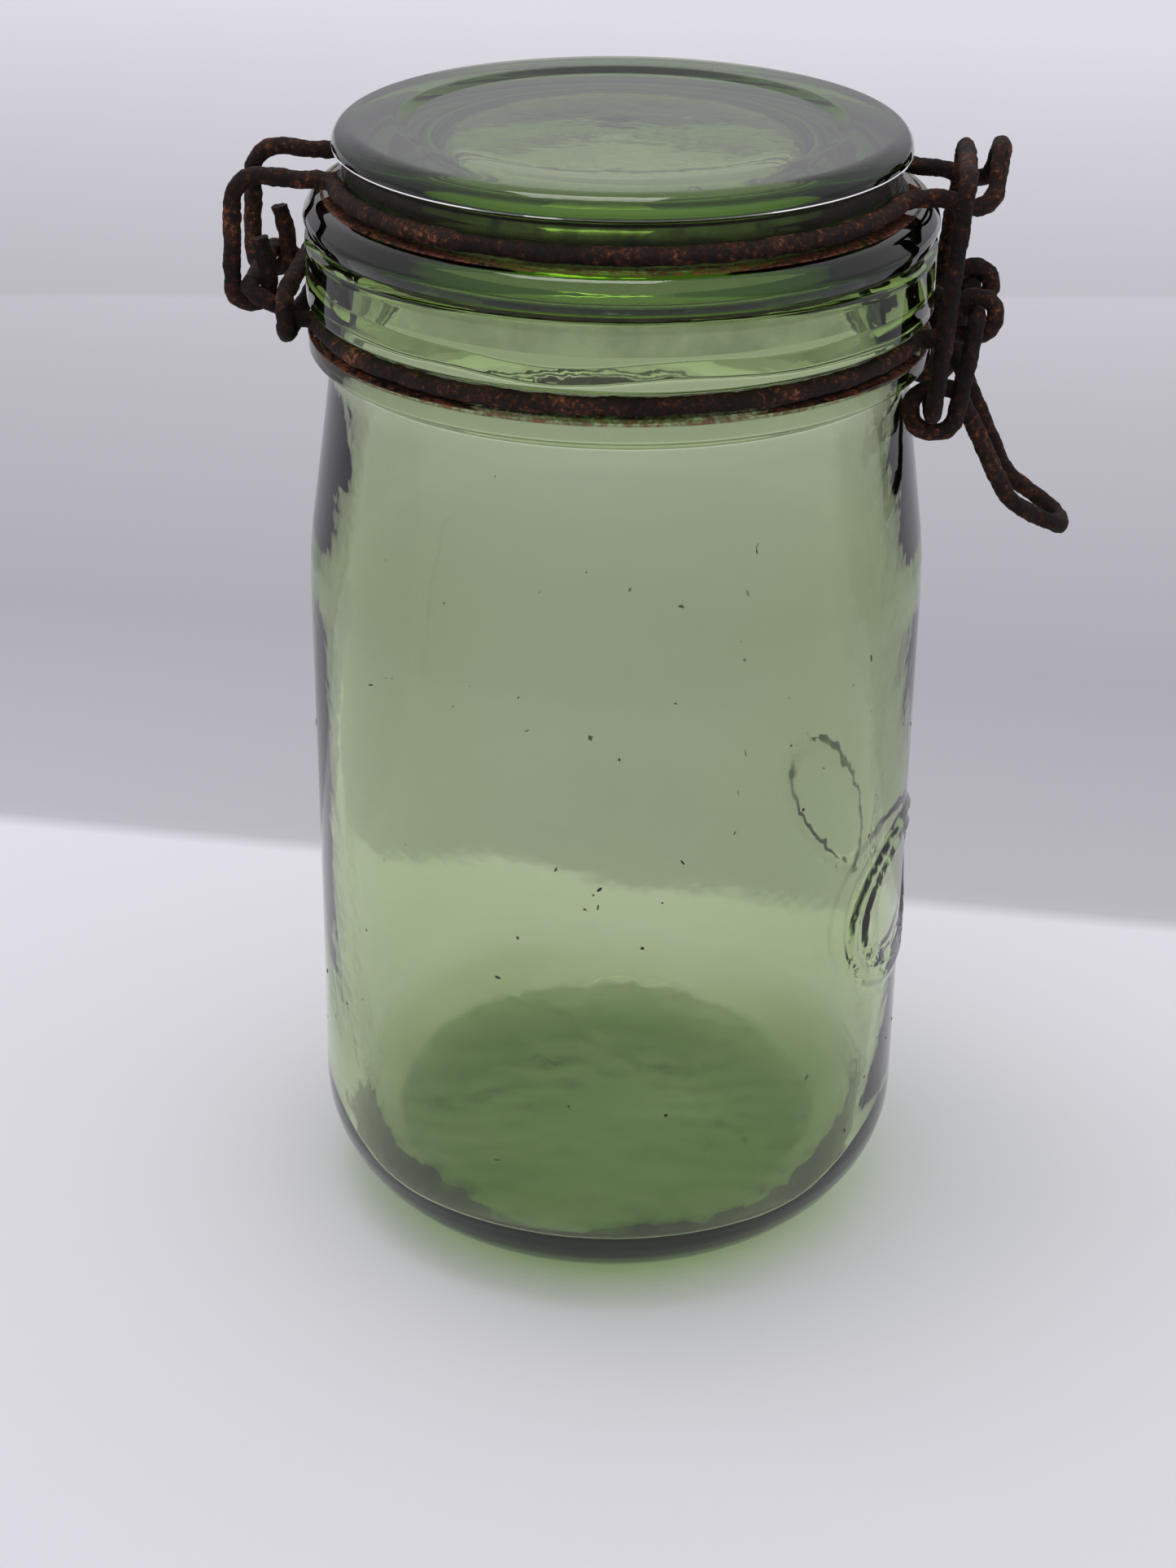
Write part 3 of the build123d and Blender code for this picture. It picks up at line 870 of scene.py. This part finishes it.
class CANISTER_OT_latch(bpy.types.Operator):
    """Makes the latch's link and lever"""

    bl_idname = "canister.latch"
    bl_label = "Latch"

    def execute(self, context):
        make_wire("latch_link", latch_link_route(), "link")
        make_wire("latch_lever", latch_lever_route(), "lever")
        return {"FINISHED"}


class CANISTER_OT_stains(bpy.types.Operator):
    """Makes the thin films on the glass: rust and grime by the wires, scum inside the mouth"""

    bl_idname = "canister.stains"
    bl_label = "Rust, grime and scum"

    def execute(self, context):
        groove_z, wire_r = NECK_WIRE
        lid_z, lid_r = LID_WIRE
        groove_r = wire_r - NECK_BED
        neck_r = lid_r - LID_BED
        films = (
            ("neck_rust_low", "jar", rust_film, [
                (49.75, groove_z - 2.65, 0), (49.7, groove_z - 2.4, 0.2), (groove_r, groove_z - 1.5, 0)]),
            ("neck_grime", "jar", groove_grime, [
                (groove_r + 1.6, groove_z - 2.0, 0), (groove_r, groove_z - 1.5, 0.8),
                (groove_r, groove_z + 1.2, 0)]),
            ("mouth_residue", "jar", mouth_scum, [
                (MOUTH_R - 0.05, RIM_Z - 2.5, 0), (MOUTH_R - 0.05, 166.0, 0)]),
            ("lid_rust_low", "lid", rust_film, [
                (FLANGE_R - 3.0, lid_z - 2.35, 0), (lid_r - 0.2, lid_z - 1.9, 0)]),
            ("lid_grime", "lid", groove_grime, [
                (lid_r + 0.4, lid_z - 2.2, 0), (neck_r + 1.2, lid_z - 1.7, 0.9),
                (neck_r - 0.1, lid_z, 1.0), (neck_r + 0.1, TOP_Z - 4.6, 0.8),
                (neck_r + 0.9, TOP_Z - 4.1, 0)]),
        )
        for name, body, make, corners in films:
            section = strip_of(outline(corners, 0.4), 0.05)
            film = lathe(name, section, 360)
            film.data.materials.append(material_named(make))
            finished(film, None, body)
        return {"FINISHED"}


class CANISTER_OT_flecks(bpy.types.Operator):
    """Scatters flecks of dirt on the outside of the jar"""

    bl_idname = "canister.flecks"
    bl_label = "Dirt flecks"

    def execute(self, context):
        section = outline([(BODY_R + 0.05, 22.0, 0), (BODY_R + 0.05, 114.0, 0)], 10.0)
        flecks = lathe("dirt_flecks", section, 64)
        applied(flecks, fleck_tree(), {"Per square metre": 1900.0, "Size": 0.34 * MM})
        finished(flecks, None, "jar")
        return {"FINISHED"}


class CANISTER_OT_stage(bpy.types.Operator):
    """Sets the floor, the soft light and the camera"""

    bl_idname = "canister.stage"
    bl_label = "Floor, light and camera"

    def execute(self, context):
        settings = context.scene.canister_stage
        half = settings.floor_half / MM
        corners = [(-half, -half), (half, -half), (half, half), (-half, half)]
        floor = new_piece("floor", [(x, y, -FLOOR_DROP) for x, y in corners], [(0, 1, 2, 3)])
        # The floor's paper carries the painted shade and light of a backdrop past the jar.
        floor.data.materials.append(material_named(paper_with_painted_backdrop_shade))

        lamp = bpy.data.lights.new("overhead", "AREA")
        lamp.shape = "RECTANGLE"
        lamp.size, lamp.size_y = LAMP_SIZE
        lamp.energy = settings.key
        lamp.color = (1.0, 0.985, 0.97)
        overhead = bpy.data.objects.new("overhead", lamp)
        overhead.location = LAMP_PLACE
        context.scene.collection.objects.link(overhead)

        world = bpy.data.worlds.new("soft_room")
        context.scene.world = world
        world.use_nodes = True
        tree = world.node_tree
        tree.nodes.clear()
        around = add(tree, "ShaderNodeTexCoord").outputs["Generated"]
        ray = add(tree, "ShaderNodeSeparateXYZ", {"Vector": around})
        height = add(tree, "ShaderNodeMapRange", {
            "Value": ray.outputs["Z"], "From Min": -0.2, "From Max": 1.0}).outputs["Result"]
        colour = ramp(tree, height, [
            (0.0, linear("#b0afb4")), (0.18, linear("#b8b7bc")), (0.4, linear("#e6e5ea")),
            (1.0, linear("#f6f5fa"))])
        room = add(tree, "ShaderNodeBackground", {"Color": colour, "Strength": settings.fill})
        add(tree, "ShaderNodeOutputWorld", {"Surface": room.outputs["Background"]})

        camera = bpy.data.objects.new("camera", bpy.data.cameras.new("camera"))
        camera.data.lens = LENS
        camera.data.sensor_width = SENSOR
        heading = Matrix.Rotation(math.radians(CAMERA_HEADING), 4, "Z")
        tilt = Matrix.Rotation(math.radians(CAMERA_TILT), 4, "X")
        roll = Matrix.Rotation(math.radians(CAMERA_ROLL), 4, "Z")
        camera.matrix_world = Matrix.Translation(CAMERA_PLACE) @ (heading @ tilt @ roll)
        context.scene.collection.objects.link(camera)
        context.scene.camera = camera
        context.scene.view_settings.view_transform = "Standard"
        return {"FINISHED"}


class CANISTER_PT_sidebar(bpy.types.Panel):
    """Lists what builds the canister"""

    bl_idname = "CANISTER_PT_sidebar"
    bl_label = "Glass canister"
    bl_space_type = "VIEW_3D"
    bl_region_type = "UI"
    bl_category = "Canister"

    def draw(self, context):
        for group in SETTINGS:
            settings = getattr(context.scene, group)
            box = self.layout.box()
            for name in settings.__annotations__:
                box.prop(settings, name)
        for operator in BUILDERS:
            self.layout.operator(operator.bl_idname)


SETTINGS = {
    "canister_glass": GlassSettings,
    "canister_wire": WireSettings,
    "canister_stage": StageSettings,
}
BUILDERS = (
    CANISTER_OT_stage, CANISTER_OT_jar, CANISTER_OT_lid, CANISTER_OT_seal, CANISTER_OT_neck_wires,
    CANISTER_OT_lid_wire, CANISTER_OT_latch, CANISTER_OT_stains, CANISTER_OT_flecks)


def register():
    for made in (*SETTINGS.values(), *BUILDERS, CANISTER_PT_sidebar):
        bpy.utils.register_class(made)
    for name, group in SETTINGS.items():
        setattr(bpy.types.Scene, name, PointerProperty(type=group))


def unregister():
    for name in SETTINGS:
        delattr(bpy.types.Scene, name)
    for made in reversed((*SETTINGS.values(), *BUILDERS, CANISTER_PT_sidebar)):
        bpy.utils.unregister_class(made)


def main():
    register()
    for operator in BUILDERS:
        group, name = operator.bl_idname.split(".")
        getattr(getattr(bpy.ops, group), name)()


if __name__ == "__main__":
    main()
